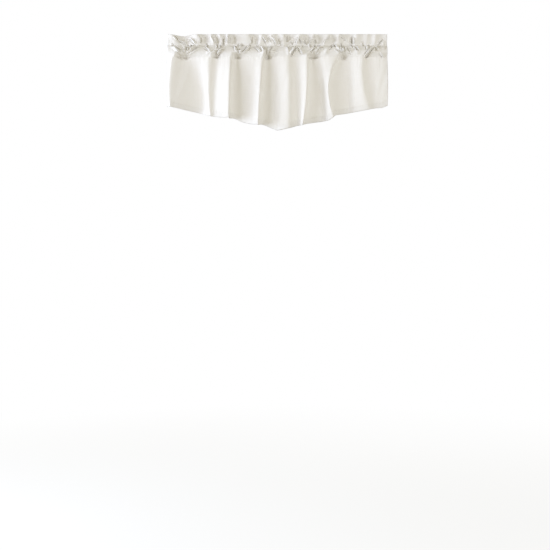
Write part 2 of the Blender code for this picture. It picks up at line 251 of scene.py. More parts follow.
CREASES: tuple[Crease, ...] = (
    # The left end, with the deep hollow under the pocket.
    Crease(-407, -8, -394, -24, CreaseKind.DARK),
    Crease(-394, -24, -358, -41, CreaseKind.DARK),
    Crease(-345, -14, -323, -42, CreaseKind.RIDGE),
    Crease(-413, -38, -414, -52, CreaseKind.FAINT),
    Crease(-402, -49, -378, -73, CreaseKind.SLIT),
    Crease(-407, -55, -386, -80, CreaseKind.RIDGE),
    Crease(-363, -50, -357, -64, CreaseKind.DARK),
    Crease(-356, -42, -345, -51, CreaseKind.DARK),
    Crease(-339, -42, -341, -61, CreaseKind.SLIT),
    Crease(-348, -48, -356, -72, CreaseKind.RIDGE),
    Crease(-371, -60, -366, -76, CreaseKind.RIDGE),
    Crease(-307, -50, -341, -74, CreaseKind.SLIT),
    Crease(-315, -47, -347, -68, CreaseKind.RIDGE),
    Crease(-341, -74, -354, -79, CreaseKind.DARK),
    Crease(-330, -41, -329, -50, CreaseKind.FAINT),
    Crease(-364, -70, -369, -97, CreaseKind.HOLLOW),
    Crease(-386, -76, -392, -97, CreaseKind.HOLLOW),
    # Left of crest 2.
    Crease(-303, -9, -302, -36, CreaseKind.DARK),
    Crease(-281, -34, -274, -53, CreaseKind.DARK),
    Crease(-289, -57, -268, -71, CreaseKind.FAINT),
    Crease(-284, -51, -262, -75, CreaseKind.RIDGE),
    Crease(-260, -9, -244, -38, CreaseKind.SLIT),
    Crease(-242, -40, -234, -52, CreaseKind.DARK),
    Crease(-234, -48, -238, -64, CreaseKind.SLIT),
    Crease(-238, -64, -251, -80, CreaseKind.FAINT),
    Crease(-226, -43, -222, -55, CreaseKind.SLIT),
    Crease(-229, -46, -230, -60, CreaseKind.RIDGE),
    Crease(-213, -60, -234, -88, CreaseKind.SLIT),
    Crease(-217, -55, -240, -83, CreaseKind.RIDGE),
    Crease(-244, -72, -246, -98, CreaseKind.HOLLOW),
    # Between crest 2 and crest 3.
    Crease(-215, -14, -215, -44, CreaseKind.DARK),
    Crease(-196, -8, -198, -38, CreaseKind.RIDGE),
    Crease(-186, -10, -189, -36, CreaseKind.DARK),
    Crease(-171, -48, -163, -70, CreaseKind.RIDGE),
    Crease(-167, -44, -161, -60, CreaseKind.SLIT),
    Crease(-161, -60, -153, -79, CreaseKind.DARK),
    Crease(-151, -58, -152, -79, CreaseKind.DARK),
    Crease(-150, -36, -150, -52, CreaseKind.RIDGE),
    Crease(-142, -42, -137, -50, CreaseKind.DARK),
    Crease(-119, -50, -143, -77, CreaseKind.SLIT),
    Crease(-110, -52, -134, -78, CreaseKind.RIDGE),
    Crease(-112, -47, -106, -42, CreaseKind.DARK),
    Crease(-103, -50, -119, -69, CreaseKind.DARK),
    Crease(-158, -68, -163, -98, CreaseKind.HOLLOW),
    # Around the middle.
    Crease(-102, -9, -102, -38, CreaseKind.DARK),
    Crease(-82, -47, -70, -47, CreaseKind.DARK),
    Crease(-92, -51, -67, -76, CreaseKind.RIDGE),
    Crease(-66, -50, -53, -78, CreaseKind.RIDGE),
    Crease(-60, -48, -50, -65, CreaseKind.DARK),
    Crease(-58, -12, -42, -36, CreaseKind.RIDGE),
    Crease(-38, -12, -21, -35, CreaseKind.FAINT),
    Crease(-34, -58, -40, -82, CreaseKind.RIDGE),
    Crease(-22, -51, -31, -67, CreaseKind.SLIT),
    Crease(-31, -67, -37, -93, CreaseKind.DARK),
    Crease(-24, -7, 0, -27, CreaseKind.FAINT),
    Crease(-16, -18, -5, -41, CreaseKind.RIDGE),
    Crease(-18, -72, 3, -65, CreaseKind.FAINT),
    Crease(0, -22, 15, -44, CreaseKind.FAINT),
    Crease(4, -48, 21, -45, CreaseKind.FAINT),
    Crease(-43, -70, -44, -100, CreaseKind.HOLLOW),
    # Between crest 4 and crest 5.
    Crease(36, -6, 38, -30, CreaseKind.SLIT),
    Crease(50, -28, 62, -41, CreaseKind.DARK),
    Crease(38, -49, 47, -69, CreaseKind.DARK),
    Crease(72, -43, 56, -67, CreaseKind.RIDGE),
    Crease(78, -49, 51, -90, CreaseKind.SLIT),
    Crease(86, -52, 70, -74, CreaseKind.RIDGE),
    Crease(86, -10, 74, -41, CreaseKind.RIDGE),
    Crease(89, -20, 98, -39, CreaseKind.RIDGE),
    Crease(80, -57, 102, -86, CreaseKind.RIDGE),
    Crease(98, -43, 99, -57, CreaseKind.DARK),
    Crease(102, -26, 116, -41, CreaseKind.DARK),
    Crease(112, -9, 105, -30, CreaseKind.DARK),
    # Between crest 5 and crest 6.
    Crease(129, -41, 130, -56, CreaseKind.DARK),
    Crease(151, -7, 122, -41, CreaseKind.RIDGE),
    Crease(148, -19, 150, -36, CreaseKind.SLIT),
    Crease(147, -42, 147, -57, CreaseKind.SLIT),
    Crease(147, -57, 131, -77, CreaseKind.SLIT),
    Crease(158, -45, 179, -44, CreaseKind.DARK),
    Crease(181, -54, 162, -62, CreaseKind.DARK),
    Crease(176, -49, 156, -60, CreaseKind.RIDGE),
    Crease(162, -62, 153, -80, CreaseKind.DARK),
    Crease(208, -11, 180, -37, CreaseKind.RIDGE),
    Crease(214, -43, 213, -56, CreaseKind.SLIT),
    Crease(213, -56, 202, -65, CreaseKind.DARK),
    Crease(131, -70, 129, -97, CreaseKind.HOLLOW),
    Crease(147, -70, 144, -97, CreaseKind.HOLLOW),
    # Between crest 6 and crest 7.
    Crease(222, -42, 225, -53, CreaseKind.SLIT),
    Crease(229, -40, 233, -57, CreaseKind.RIDGE),
    Crease(227, -61, 250, -81, CreaseKind.FAINT),
    Crease(247, -50, 252, -78, CreaseKind.RIDGE),
    Crease(252, -34, 253, -59, CreaseKind.DARK),
    Crease(256, -58, 257, -78, CreaseKind.RIDGE),
    Crease(260, -44, 264, -76, CreaseKind.SLIT),
    Crease(248, -9, 272, -24, CreaseKind.FAINT),
    Crease(274, -57, 291, -74, CreaseKind.RIDGE),
    Crease(280, -76, 294, -80, CreaseKind.FAINT),
    Crease(295, -8, 294, -40, CreaseKind.DARK),
    Crease(290, -40, 297, -57, CreaseKind.SLIT),
    Crease(299, -11, 303, -42, CreaseKind.RIDGE),
    Crease(303, -50, 313, -69, CreaseKind.DARK),
    Crease(311, -50, 320, -71, CreaseKind.RIDGE),
    Crease(259, -70, 257, -100, CreaseKind.HOLLOW),
    # The right end.
    Crease(334, -28, 339, -51, CreaseKind.FAINT),
    Crease(350, -44, 352, -69, CreaseKind.RIDGE),
    Crease(358, -42, 361, -61, CreaseKind.DARK),
    Crease(383, -51, 345, -98, CreaseKind.SLIT),
    Crease(374, -50, 340, -92, CreaseKind.RIDGE),
    Crease(387, -44, 393, -73, CreaseKind.RIDGE),
    Crease(398, -44, 400, -61, CreaseKind.DARK),
    Crease(418, -19, 395, -42, CreaseKind.DARK),
    Crease(417, -47, 424, -63, CreaseKind.FAINT),
    Crease(404, -77, 418, -95, CreaseKind.RIDGE),
    # The frill's shaded dips, behind its crests.
    Crease(-376, -10, -353, -38, CreaseKind.DIP),
    Crease(-292, -6, -288, -38, CreaseKind.DIP),
    Crease(-249, -10, -240, -38, CreaseKind.DIP),
    Crease(-178, -4, -179, -38, CreaseKind.DIP),
    Crease(-89, -6, -90, -40, CreaseKind.DIP),
    Crease(40, -4, 46, -36, CreaseKind.DIP),
    Crease(62, -12, 58, -36, CreaseKind.DIP),
    Crease(122, -6, 114, -38, CreaseKind.DIP),
    Crease(163, -6, 158, -38, CreaseKind.DIP),
    Crease(219, -12, 212, -42, CreaseKind.DIP),
    Crease(287, -4, 288, -36, CreaseKind.DIP),
    Crease(428, -20, 424, -70, CreaseKind.DIP),
)


class Side(Enum):
    """The side of the cloth that a row of stitching shows on."""

    FRONT = 1.0
    BACK = -1.0


# ---------------------------------------------------------------------------------------------- geometry


def ease(share: np.ndarray) -> np.ndarray:
    """Smooths a share from 0 to 1, with no slope at either end.

    Args:
        share: Any values; those outside 0 to 1 are held at the ends.

    Returns:
        The eased values.
    """
    held = np.clip(share, 0.0, 1.0)
    return held * held * (3 - 2 * held)


def curve_through(points: np.ndarray, at: np.ndarray) -> np.ndarray:
    """Reads a centripetal Catmull-Rom curve that passes through each row's points.

    Args:
        points: Control points, shaped (..., lines, coordinates).
        at: Where to read it, counted in control points from the first.

    Returns:
        The curve, shaped (..., places, coordinates).
    """
    first = 2 * points[..., :1, :] - points[..., 1:2, :]
    last = 2 * points[..., -1:, :] - points[..., -2:-1, :]
    run = np.concatenate([first, points, last], axis=-2)
    knots = np.sqrt(np.linalg.norm(np.diff(run, axis=-2), axis=-1))[..., None]
    start = np.clip(np.floor(at).astype(int), 0, points.shape[-2] - 2)
    p0, p1, p2, p3 = (run[..., start + k, :] for k in range(4))
    g0, g1, g2 = (knots[..., start + k, :] for k in range(3))
    t0, t1, t2, t3 = np.zeros_like(g0), g0, g0 + g1, g0 + g1 + g2
    t = t1 + (at - start)[:, None] * g1
    a1 = ((t1 - t) * p0 + (t - t0) * p1) / (t1 - t0)
    a2 = ((t2 - t) * p1 + (t - t1) * p2) / (t2 - t1)
    a3 = ((t3 - t) * p2 + (t - t2) * p3) / (t3 - t2)
    b1 = ((t2 - t) * a1 + (t - t0) * a2) / (t2 - t0)
    b2 = ((t3 - t) * a2 + (t - t1) * a3) / (t3 - t1)
    return ((t2 - t) * b1 + (t - t1) * b2) / (t2 - t1)


def grid_normals(grid: np.ndarray) -> np.ndarray:
    """Works out each point's normal on a grid of points.

    Args:
        grid: Points, shaped (rows, columns, 3).

    Returns:
        Unit normals of the same shape, along the columns' direction crossed with the rows'.
    """
    normals = np.cross(np.gradient(grid, axis=1), np.gradient(grid, axis=0))
    return normals / np.maximum(np.linalg.norm(normals, axis=2, keepdims=True), TINY)


def run_length(points: np.ndarray) -> np.ndarray:
    """Measures how far along a line of points each one lies.

    Args:
        points: Points in order, shaped (places, coordinates).

    Returns:
        The distance from the first point to each.
    """
    steps = np.linalg.norm(np.diff(points, axis=0), axis=1)
    return np.concatenate([[0.0], np.cumsum(steps)])


def uneven(along: np.ndarray, pitch: float, seed: float) -> np.ndarray:
    """Gives a wandering ripple with a rough pitch, the same on each run.

    Args:
        along: Distances in metres.
        pitch: The ripple's usual pitch in metres.
        seed: Shifts the wander, so that two ripples differ.

    Returns:
        Values between about -1 and 1.
    """
    turn = 2 * math.pi * along / pitch
    wander = 1.9 * np.sin(turn / 5.3 + seed) + 1.3 * np.sin(turn / 2.9 + 2.1 * seed)
    swell = 0.65 + 0.35 * np.sin(turn / 4.1 + 3.7 * seed)
    return swell * (0.75 * np.sin(turn + wander) + 0.25 * np.sin(1.7 * turn + 0.6 * wander + seed))


def spread(values: np.ndarray, reach: int) -> np.ndarray:
    """Widens every peak of a grid and lets it fall away softly, without lowering it.

    Args:
        values: The grid.
        reach: How many rows and columns a peak is widened by, and then softened by.

    Returns:
        The softened grid, never under the peaks it was made from.
    """
    wide = values
    for combine in (np.max, np.mean):
        for axis in (0, 1):
            edges = [(reach, reach) if side == axis else (0, 0) for side in (0, 1)]
            padded = np.pad(wide, edges, mode="edge")
            count = values.shape[axis]
            shifted = [padded.take(range(k, k + count), axis=axis) for k in range(2 * reach + 1)]
            wide = combine(shifted, axis=0)
    return wide


class Pucker(NamedTuple):
    """Fine puckers that sewing leaves beside its line, in metres."""

    height: float
    pitch: float
    seed: float
    reach: float

    def lift(self, along: np.ndarray, away: np.ndarray) -> np.ndarray:
        """Gives how far the puckers lift the cloth.

        Args:
            along: Distances along the line.
            away: Distances from it.

        Returns:
            The lift in metres.
        """
        return self.height * uneven(along, self.pitch, self.seed) * np.exp(-((away / self.reach) ** 2))


UPPER_PUCKER = Pucker(height=0.0007, pitch=0.0085, seed=0.7, reach=0.009)
SEAM_PUCKER = Pucker(height=0.0006, pitch=0.011, seed=2.3, reach=0.010)
HEM_PUCKER = Pucker(height=0.0004, pitch=0.015, seed=4.0, reach=0.010)
LEFT_PUCKER = Pucker(height=0.0010, pitch=0.019, seed=0.4, reach=0.016)
RIGHT_PUCKER = Pucker(height=0.0006, pitch=0.023, seed=1.9, reach=0.014)


def with_turned_sides(
    grid: np.ndarray, across: np.ndarray, normals: np.ndarray, turned: np.ndarray, behind: float
) -> tuple[np.ndarray, np.ndarray]:
    """Adds a hem down each side of a sheet, turned in to lie behind it.

    Args:
        grid: The sheet's points.
        across: Each column's place across the flat cloth.
        normals: The sheet's normals.
        turned: How far in from the edge each turned column lies, the furthest first.
        behind: How far behind the sheet the hem lies.

    Returns:
        The wider grid, and its columns' places across the flat cloth.
    """
    blocks, places = [], []
    for left in (True, False):
        distance = across if left else across[-1] - across
        order = np.argsort(distance)
        columns = []
        for depth in turned:
            near = np.interp(depth, distance[order], order)
            low, share = int(np.floor(near)), near - np.floor(near)
            high = min(low + 1, grid.shape[1] - 1)
            point = (1 - share) * grid[:, low] + share * grid[:, high]
            columns.append(point - normals[:, low] * behind)
        blocks.append(np.stack(columns if left else columns[::-1], axis=1))
        places.append(-turned if left else across[-1] + turned[::-1])
    whole = np.concatenate([blocks[0], grid, blocks[1]], axis=1)
    return whole, np.concatenate([places[0], across, places[1]])


def crease_depth(x: np.ndarray, z: np.ndarray, creases: Sequence[Crease]) -> np.ndarray:
    """Adds up how far the creases push the cloth back at each point.

    Args:
        x: Points' x in metres.
        z: Points' z in metres, of the same shape.
        creases: The creases to add.

    Returns:
        The push in metres, positive towards the wall.
    """
    push = np.zeros_like(x)
    for crease in creases:
        shape = crease.kind.value
        start = np.array([crease.x0, crease.z0])
        end = np.array([crease.x1, crease.z1])
        margin = CREASE_MARGIN * shape.width
        low, high = (np.minimum(start, end) - margin) * MM, (np.maximum(start, end) + margin) * MM
        near = (x > low[0]) & (x < high[0]) & (z > low[1]) & (z < high[1])
        if not near.any():
            continue
        reach = np.linalg.norm(end - start)
        forward = (end - start) / reach
        side = np.array([-forward[1], forward[0]])
        side *= np.sign(side @ STEP_TOWARDS)
        offset = np.stack([x[near], z[near]], axis=1) / MM - start
        share = offset @ forward / reach
        beyond = (np.maximum(-share, 0) + np.maximum(share - 1, 0)) * reach / shape.width
        across = offset @ side / shape.width
        from_end = np.minimum(share, 1 - share).clip(0, 1)
        fade = ease(from_end * END_RISE + END_SHARE) * np.exp(-(beyond**2))
        step = shape.step * across * np.exp(0.5 * (1 - across**2))
        push[near] += MM * fade * (step + shape.groove * np.exp(-(across**2)))
    return push


@dataclass
class ClothGrid:
    """A sheet of cloth as a grid of points, with each point's place in the flat cloth."""

    points: np.ndarray
    across: np.ndarray
    along: np.ndarray

    def mesh(self, name: str) -> bpy.types.Object:
        """Makes the grid a smooth mesh object with a map of the flat cloth, in metres.

        Args:
            name: The object's name.

        Returns:
            The new object, linked to the scene.
        """
        rows, columns = self.points.shape[:2]
        ids = np.arange(rows * columns).reshape(rows, columns)
        quads = np.stack([ids[:-1, :-1], ids[:-1, 1:], ids[1:, 1:], ids[1:, :-1]], axis=2).reshape(-1, 4)
        mesh = bpy.data.meshes.new(name)
        mesh.from_pydata(self.points.reshape(-1, 3).tolist(), [], quads.tolist())
        flat = np.stack([self.across, self.along], axis=2).reshape(-1, 2)
        uv_map = mesh.uv_layers.new(name="flat_cloth")
        uv_map.data.foreach_set("uv", flat[quads.reshape(-1)].astype(np.float32).reshape(-1))
        mesh.shade_smooth()
        made = bpy.data.objects.new(name, mesh)
        bpy.context.scene.collection.objects.link(made)
        return made


@dataclass(frozen=True)
class ValanceSizes:
    """The valance's own sizes, in metres."""

    width: float = 0.873
    drop_side: float = 0.286
    drop_point: float = 0.381
    frill_height: float = 0.045
    pocket_height: float = 0.046
    pocket_open: float = 0.024
    front_ruffle: float = 0.3
    back_ruffle: float = 0.3
    cloth: float = 0.0008
    hem: float = 0.022
    side_hem: float = 0.012
    dip: float = 0.008
    dip_x: float = -0.372
    dip_half_width: float = 0.055
    top_lean: float = 0.3
    hem_inset: float = 0.002
    flat_width: float = 1.09
    heading_flat_height: float = 0.215

    @property
    def stitch_z(self) -> float:
        """The height of the upper row of stitching."""
        return -self.frill_height

    @property
    def seam_z(self) -> float:
        """The height of the lower row of stitching, where the drop panel starts."""
        return -self.frill_height - self.pocket_height

    @property
    def hem_stitch(self) -> float:
        """How far the hem's stitching runs above the lower edge."""
        return self.hem - self.hem_inset


@dataclass
class HangingFolds:
    """Where the folds put the cloth, before its finer creases."""

    sizes: ValanceSizes

    def panel_lines(self, down: np.ndarray) -> np.ndarray:
        """Gives each fold line's place at shares of the way down the panel.

        Args:
            down: Shares from the seam, 0, to the hem, 1.

        Returns:
            (x, y) in metres, shaped (shares, lines, 2).
        """
        table = np.array([line[1:7] for line in FOLD_LINES], float) * MM
        seam, mid, hem = (2 * down - 1) * (down - 1), 4 * down * (1 - down), down * (2 * down - 1)
        weights = np.stack([seam, mid, hem], axis=1)
        return np.stack([weights @ table[:, :3].T, weights @ table[:, 3:].T], axis=2)

    def panel(self, columns: np.ndarray, down: np.ndarray) -> np.ndarray:
        """Lays out the drop panel's middle surface.

        Args:
            columns: Places across, counted in fold lines.
            down: Shares from the seam to the hem, one for each row.

        Returns:
            Points shaped (rows, columns, 3).
        """
        flat = curve_through(self.panel_lines(down), columns)
        hem = self.hem_height(columns)
        z = self.sizes.seam_z + (hem - self.sizes.seam_z)[None, :] * down[:, None]
        return np.concatenate([flat, z[:, :, None]], axis=2)

    def hem_height(self, columns: np.ndarray) -> np.ndarray:
        """Gives the hem's z at places across, counted in fold lines."""
        s = self.sizes
        x = curve_through(self.panel_lines(np.array([1.0])), columns)[0, :, 0]
        cut = s.drop_point - (s.drop_point - s.drop_side) * abs(x) / (s.width / 2)
        lifts = curve_through(np.array([[i, line.lift] for i, line in enumerate(FOLD_LINES)], float), columns)
        return lifts[:, 1] * MM - cut

    def seam_wave(self, x: np.ndarray) -> np.ndarray:
        """Gives the seam's y at x, both in metres."""
        places = np.linspace(0, len(FOLD_LINES) - 1, SEAM_READINGS * len(FOLD_LINES))
        curve = curve_through(self.panel_lines(np.array([0.0])), places)[0]
        return np.interp(x, np.maximum.accumulate(curve[:, 0]), curve[:, 1])

    def frill(self, columns: np.ndarray, up: np.ndarray) -> np.ndarray:
        """Lays out the frill's middle surface.

        Args:
            columns: Places across, counted in frill lines.
            up: Shares from the stitching to the top edge, one for each row.

        Returns:
            Points shaped (rows, columns, 3).
        """
        table = np.array(FRILL_LINES, float) * MM
        share, eased = up[:, None], ease(up)[:, None]
        lines = np.stack(
            [
                (1 - share) * table[:, 1] + share * table[:, 0],
                (1 - eased) * table[:, 3] + eased * table[:, 2],
            ],
            axis=2,
        )
        flat = curve_through(lines, columns)
        s = self.sizes
        beside = np.clip(abs(flat[:, :, 0] - s.dip_x) / s.dip_half_width, 0, 1)
        lies_back = curve_through(table[:, [0, 2]], columns)[:, 1]
        height = s.frill_height + s.top_lean * lies_back - s.dip * np.cos(beside * math.pi / 2) ** 2
        return np.concatenate([flat, (s.stitch_z + height * share)[:, :, None]], axis=2)

    def pocket(self, columns: np.ndarray, down: np.ndarray, side: Side) -> np.ndarray:
        """Lays out one layer of the rod pocket.

        Args:
            columns: Places across, counted in frill lines.
            down: Shares from the upper stitching to the lower, one for each row.
            side: The layer on the room's side or on the wall's.

        Returns:
            Points shaped (rows, columns, 3).
        """
        s = self.sizes
        x, stitch = self.frill(columns, np.array([0.0]))[0, :, :2].T
        share = down[:, None]
        wave = (1 - ease(share)) * stitch + ease(share) * self.seam_wave(x)
        rise = 2 * share - 1
        belly = 1 - abs(rise) ** 2.5
        if side is Side.FRONT:
            belly = np.where(rise < 0, belly, (1 - rise**2) ** 2)
            swell = -s.pocket_open / 2 - s.front_ruffle * (wave.max(axis=1, keepdims=True) - wave)
            y = (1 - belly) * wave + belly * swell - s.cloth / 2 - self.gather_ridges(x, down)
        else:
            swell = s.pocket_open / 2 + s.back_ruffle * (wave - wave.min(axis=1, keepdims=True))
            y = (1 - belly) * wave + belly * swell + s.cloth / 2
        z = s.stitch_z - s.pocket_height * share + np.zeros_like(y)
        return np.stack([x + np.zeros_like(y), y, z], axis=2)

    def gather_ridges(self, x: np.ndarray, down: np.ndarray) -> np.ndarray:
        """Gives how far the gathers lift the pocket's front.

        Args:
            x: Each column's x in metres.
            down: Each row's share of the way down the pocket.

        Returns:
            The lift in metres, shaped (rows, columns).
        """
        lift = np.zeros((len(down), len(x)))
        for gather in GATHERS:
            share = ((down - gather.high) / (gather.low - gather.high))[:, None]
            centre = (gather.x_high + (gather.x_low - gather.x_high) * share) * MM
            beside = np.clip(abs(x - centre) / (gather.half_width * MM), 0, 1)
            fade = ease(np.minimum(share, 1 - share) * 3)
            lift += gather.height * MM * fade * np.cos(beside * math.pi / 2) ** 2
        return lift


# ---------------------------------------------------------------------------------------------- finishes


def linear(hex_colour: str) -> tuple[float, float, float, float]:
    """Turns an sRGB hex colour to linear RGBA.

    Args:
        hex_colour: Such as "#F2ECDF".

    Returns:
        Red, green, blue and an alpha of 1.
    """
    channels = [int(hex_colour[i : i + 2], 16) / 255 for i in (1, 3, 5)]
    red, green, blue = (c / 12.92 if c <= 0.04045 else ((c + 0.055) / 1.055) ** 2.4 for c in channels)
    return red, green, blue, 1.0


def add_node(
    tree: bpy.types.NodeTree, kind: str, settings: dict[str, Any] | None = None, **inputs: Any
) -> bpy.types.Node:
    """Adds one node with its settings, values and links.

    Args:
        tree: The node tree to add to.
        kind: The node's type name.
        settings: Attributes to set on the node.
        **inputs: Input values or sockets to link, by input name with underscores for spaces, or in0,
            in1 and so on by place.

    Returns:
        The new node.
    """
    node = tree.nodes.new(kind)
    for name, value in (settings or {}).items():
        setattr(node, name, value)
    for name, value in inputs.items():
        socket = node.inputs[int(name[2:])] if name[:2] == "in" and name[2:].isdigit() else None
        socket = socket or node.inputs[name.replace("_", " ")]
        if isinstance(value, bpy.types.NodeSocket):
            tree.links.new(value, socket)
        else:
            socket.default_value = value
    return node


@dataclass(frozen=True)
class CottonDuck:
    """Unbleached cotton duck: a plain weave of round, slightly uneven yarns, washed soft.

    The yarns scatter light every way, so there is no gloss, only a faint bloom at grazing angles, and
    some light comes through from behind. Thick places in the yarn make the short streaks.
    """

    name: str = "cotton_duck_woven"
    cloth: str = "#EEECE7"
    shade: str = "#EAE6DE"
    fleck: str = "#D8CFBC"
    glow: str = "#ECE6DA"
    yarn_pitch_mm: float = 0.8  # real yarns lie about 0.6 mm apart; drawn a little coarser so that they show
    slub_length_mm: float = 46.0
    slub_width_mm: float = 1.6
    patches_per_metre: float = 14.0
    flecks_per_metre: float = 420.0
    roughness: float = 0.86
    through: float = 0.07

    def build(self) -> bpy.types.Material:
        """Makes the material.

        Returns:
            The woven material, mapped in metres of flat cloth.
        """
        material = bpy.data.materials.new(self.name)
        material.use_nodes = True
        tree = material.node_tree
        tree.nodes.clear()
        place = add_node(tree, "ShaderNodeUVMap", {"uv_map": "flat_cloth"}).outputs["UV"]
        yarns_per_metre = 1000 / self.yarn_pitch_mm
        split = add_node(
            tree,
            "ShaderNodeSeparateXYZ",
            in0=add_node(
                tree, "ShaderNodeVectorMath", {"operation": "SCALE"}, in0=place, in3=yarns_per_metre
            ).outputs[0],
        )
        waves = []
        for axis in ("X", "Y"):
            turn = add_node(
                tree, "ShaderNodeMath", {"operation": "MULTIPLY"}, in0=split.outputs[axis], in1=math.pi
            )
            sine = add_node(tree, "ShaderNodeMath", {"operation": "SINE"}, in0=turn.outputs[0])
            waves.append(sine.outputs[0])
        crossing = add_node(tree, "ShaderNodeMath", {"operation": "MULTIPLY"}, in0=waves[0], in1=waves[1])
        weave = add_node(tree, "ShaderNodeMath", {"operation": "ABSOLUTE"}, in0=crossing.outputs[0])
        slubs = []
        slub = (self.slub_length_mm, self.slub_width_mm)
        for wide, tall in (slub, slub[::-1]):
            size = (1000 / wide, 1000 / tall, 1.0)
            stretched = add_node(tree, "ShaderNodeMapping", Vector=place, Scale=size).outputs[0]
            noise = add_node(
                tree, "ShaderNodeTexNoise", Vector=stretched, Scale=1.0, Detail=2.0, Roughness=0.55
            )
            slubs.append(noise.outputs[0])
        streaks = add_node(tree, "ShaderNodeMath", {"operation": "ADD"}, in0=slubs[0], in1=slubs[1])
        streak_share = add_node(
            tree, "ShaderNodeMapRange", in0=streaks.outputs[0], in1=0.78, in2=1.25, in3=0.0, in4=1.0
        )
        patches = add_node(
            tree, "ShaderNodeTexNoise", Vector=place, Scale=self.patches_per_metre, Detail=3.0, Roughness=0.6
        )
        blend = add_node(
            tree, "ShaderNodeMath", {"operation": "MULTIPLY_ADD"}, in0=streak_share.outputs[0], in1=0.55
        )
        patch_share = add_node(
            tree, "ShaderNodeMath", {"operation": "MULTIPLY"}, in0=patches.outputs[0], in1=0.45
        )
        tree.links.new(patch_share.outputs[0], blend.inputs[2])
        ground = add_node(
            tree,
            "ShaderNodeMix",
            {"data_type": "RGBA"},
            in0=blend.outputs[0],
            in6=linear(self.cloth),
            in7=linear(self.shade),
        )
        fleck_noise = add_node(
            tree, "ShaderNodeTexNoise", Vector=place, Scale=self.flecks_per_metre, Detail=1.0
        )
        fleck_share = add_node(
            tree, "ShaderNodeMapRange", in0=fleck_noise.outputs[0], in1=0.70, in2=0.78, in3=0.0, in4=0.35
        )
        colour = add_node(
            tree,
            "ShaderNodeMix",
            {"data_type": "RGBA"},
            in0=fleck_share.outputs[0],
            in6=ground.outputs[2],
            in7=linear(self.fleck),
        )
        height = add_node(
            tree, "ShaderNodeMath", {"operation": "MULTIPLY_ADD"}, in0=streak_share.outputs[0], in1=0.8
        )
        tree.links.new(weave.outputs[0], height.inputs[2])
        bump = add_node(
            tree, "ShaderNodeBump", Strength=0.35, Distance=0.0002, Height=height.outputs[0]
        )
        body = add_node(
            tree,
            "ShaderNodeBsdfPrincipled",
            Base_Color=colour.outputs[2],
            Roughness=self.roughness,
            IOR=1.45,
            Specular_IOR_Level=0.25,
            Sheen_Weight=0.12,
            Sheen_Roughness=0.5,
            Normal=bump.outputs[0],
        )
        lit_through = add_node(
            tree, "ShaderNodeBsdfTranslucent", Color=linear(self.glow), Normal=bump.outputs[0]
        )
        mixed = add_node(
            tree, "ShaderNodeMixShader", in0=self.through, in1=body.outputs[0], in2=lit_through.outputs[0]
        )
        add_node(tree, "ShaderNodeOutputMaterial", Surface=mixed.outputs[0])
        return material


@dataclass(frozen=True)
class CottonThread:
    """Spun cotton sewing thread, two plies twisted: matt, a shade deeper than the cloth."""

    name: str = "cotton_thread_spun"
    colour: str = "#E9E3D6"
    ply_pitch_mm: float = 1.1
    roughness: float = 0.7

    def build(self) -> bpy.types.Material:
        """Makes the material.

        Returns:
            The thread's material, with its twist as a fine stripe.
        """
        material = bpy.data.materials.new(self.name)
        material.use_nodes = True
        tree = material.node_tree
        tree.nodes.clear()
        place = add_node(tree, "ShaderNodeTexCoord").outputs["Object"]
        twist = add_node(
            tree,
            "ShaderNodeTexWave",
            {"wave_type": "BANDS", "bands_direction": "DIAGONAL"},
            Vector=place,
            Scale=1000 / self.ply_pitch_mm / (2 * math.pi),
        )
        bump = add_node(tree, "ShaderNodeBump", Strength=0.4, Distance=0.0001, Height=twist.outputs["Fac"])
        deep = tuple(0.88 * c for c in linear(self.colour)[:3]) + (1.0,)
        colour = add_node(
            tree,
            "ShaderNodeMix",
            {"data_type": "RGBA"},
            in0=twist.outputs["Fac"],
            in6=linear(self.colour),
            in7=deep,
        )
        body = add_node(
            tree,
            "ShaderNodeBsdfPrincipled",
            Base_Color=colour.outputs[2],
            Roughness=self.roughness,
            Normal=bump.outputs[0],
        )
        add_node(tree, "ShaderNodeOutputMaterial", Surface=body.outputs[0])
        return material


@dataclass(frozen=True)
class PaperFloor:
    """Pale matt studio paper, rolled out flat, with painted light: a white glow mixed in that grows further
    off until it runs into the white.
    """

    name: str = "studio_paper"
    colour: str = "#FAFAF9"
    roughness: float = 0.95
    # The share of painted glow at the middle of the floor.
    painted_glow_near: float = 0.60
    fade_from: float = 0.5
    fade_to: float = 3.6

    def build(self) -> bpy.types.Material:
        """Makes the floor's plain material.

        Returns:
            The paper, its painted glow growing from the middle of the floor to near its rim.
        """
        material = bpy.data.materials.new(self.name)
        material.use_nodes = True
        tree = material.node_tree
        tree.nodes.clear()
        body = add_node(
            tree, "ShaderNodeBsdfPrincipled", Base_Color=linear(self.colour), Roughness=self.roughness
        )
        # Painted light: the paper glows white instead of being lit, and more strongly towards its rim.
        glow = add_node(tree, "ShaderNodeEmission", Color=(1.0, 1.0, 1.0, 1.0), Strength=1.0)
        place = add_node(tree, "ShaderNodeTexCoord").outputs["Object"]
        level = (1.0, 1.0, 0.0)
        flat = add_node(tree, "ShaderNodeVectorMath", {"operation": "MULTIPLY"}, in0=place, in1=level)
        reach = add_node(tree, "ShaderNodeVectorMath", {"operation": "LENGTH"}, in0=flat.outputs[0])
        share = add_node(
            tree,
            "ShaderNodeMapRange",
            {"interpolation_type": "SMOOTHSTEP"},
            in0=reach.outputs["Value"],
            in1=self.fade_from,
            in2=self.fade_to,
            in3=self.painted_glow_near,
            in4=1.0,
        )
        mixed = add_node(
            tree, "ShaderNodeMixShader", in0=share.outputs[0], in1=body.outputs[0], in2=glow.outputs[0]
        )
        add_node(tree, "ShaderNodeOutputMaterial", Surface=mixed.outputs[0])
        return material


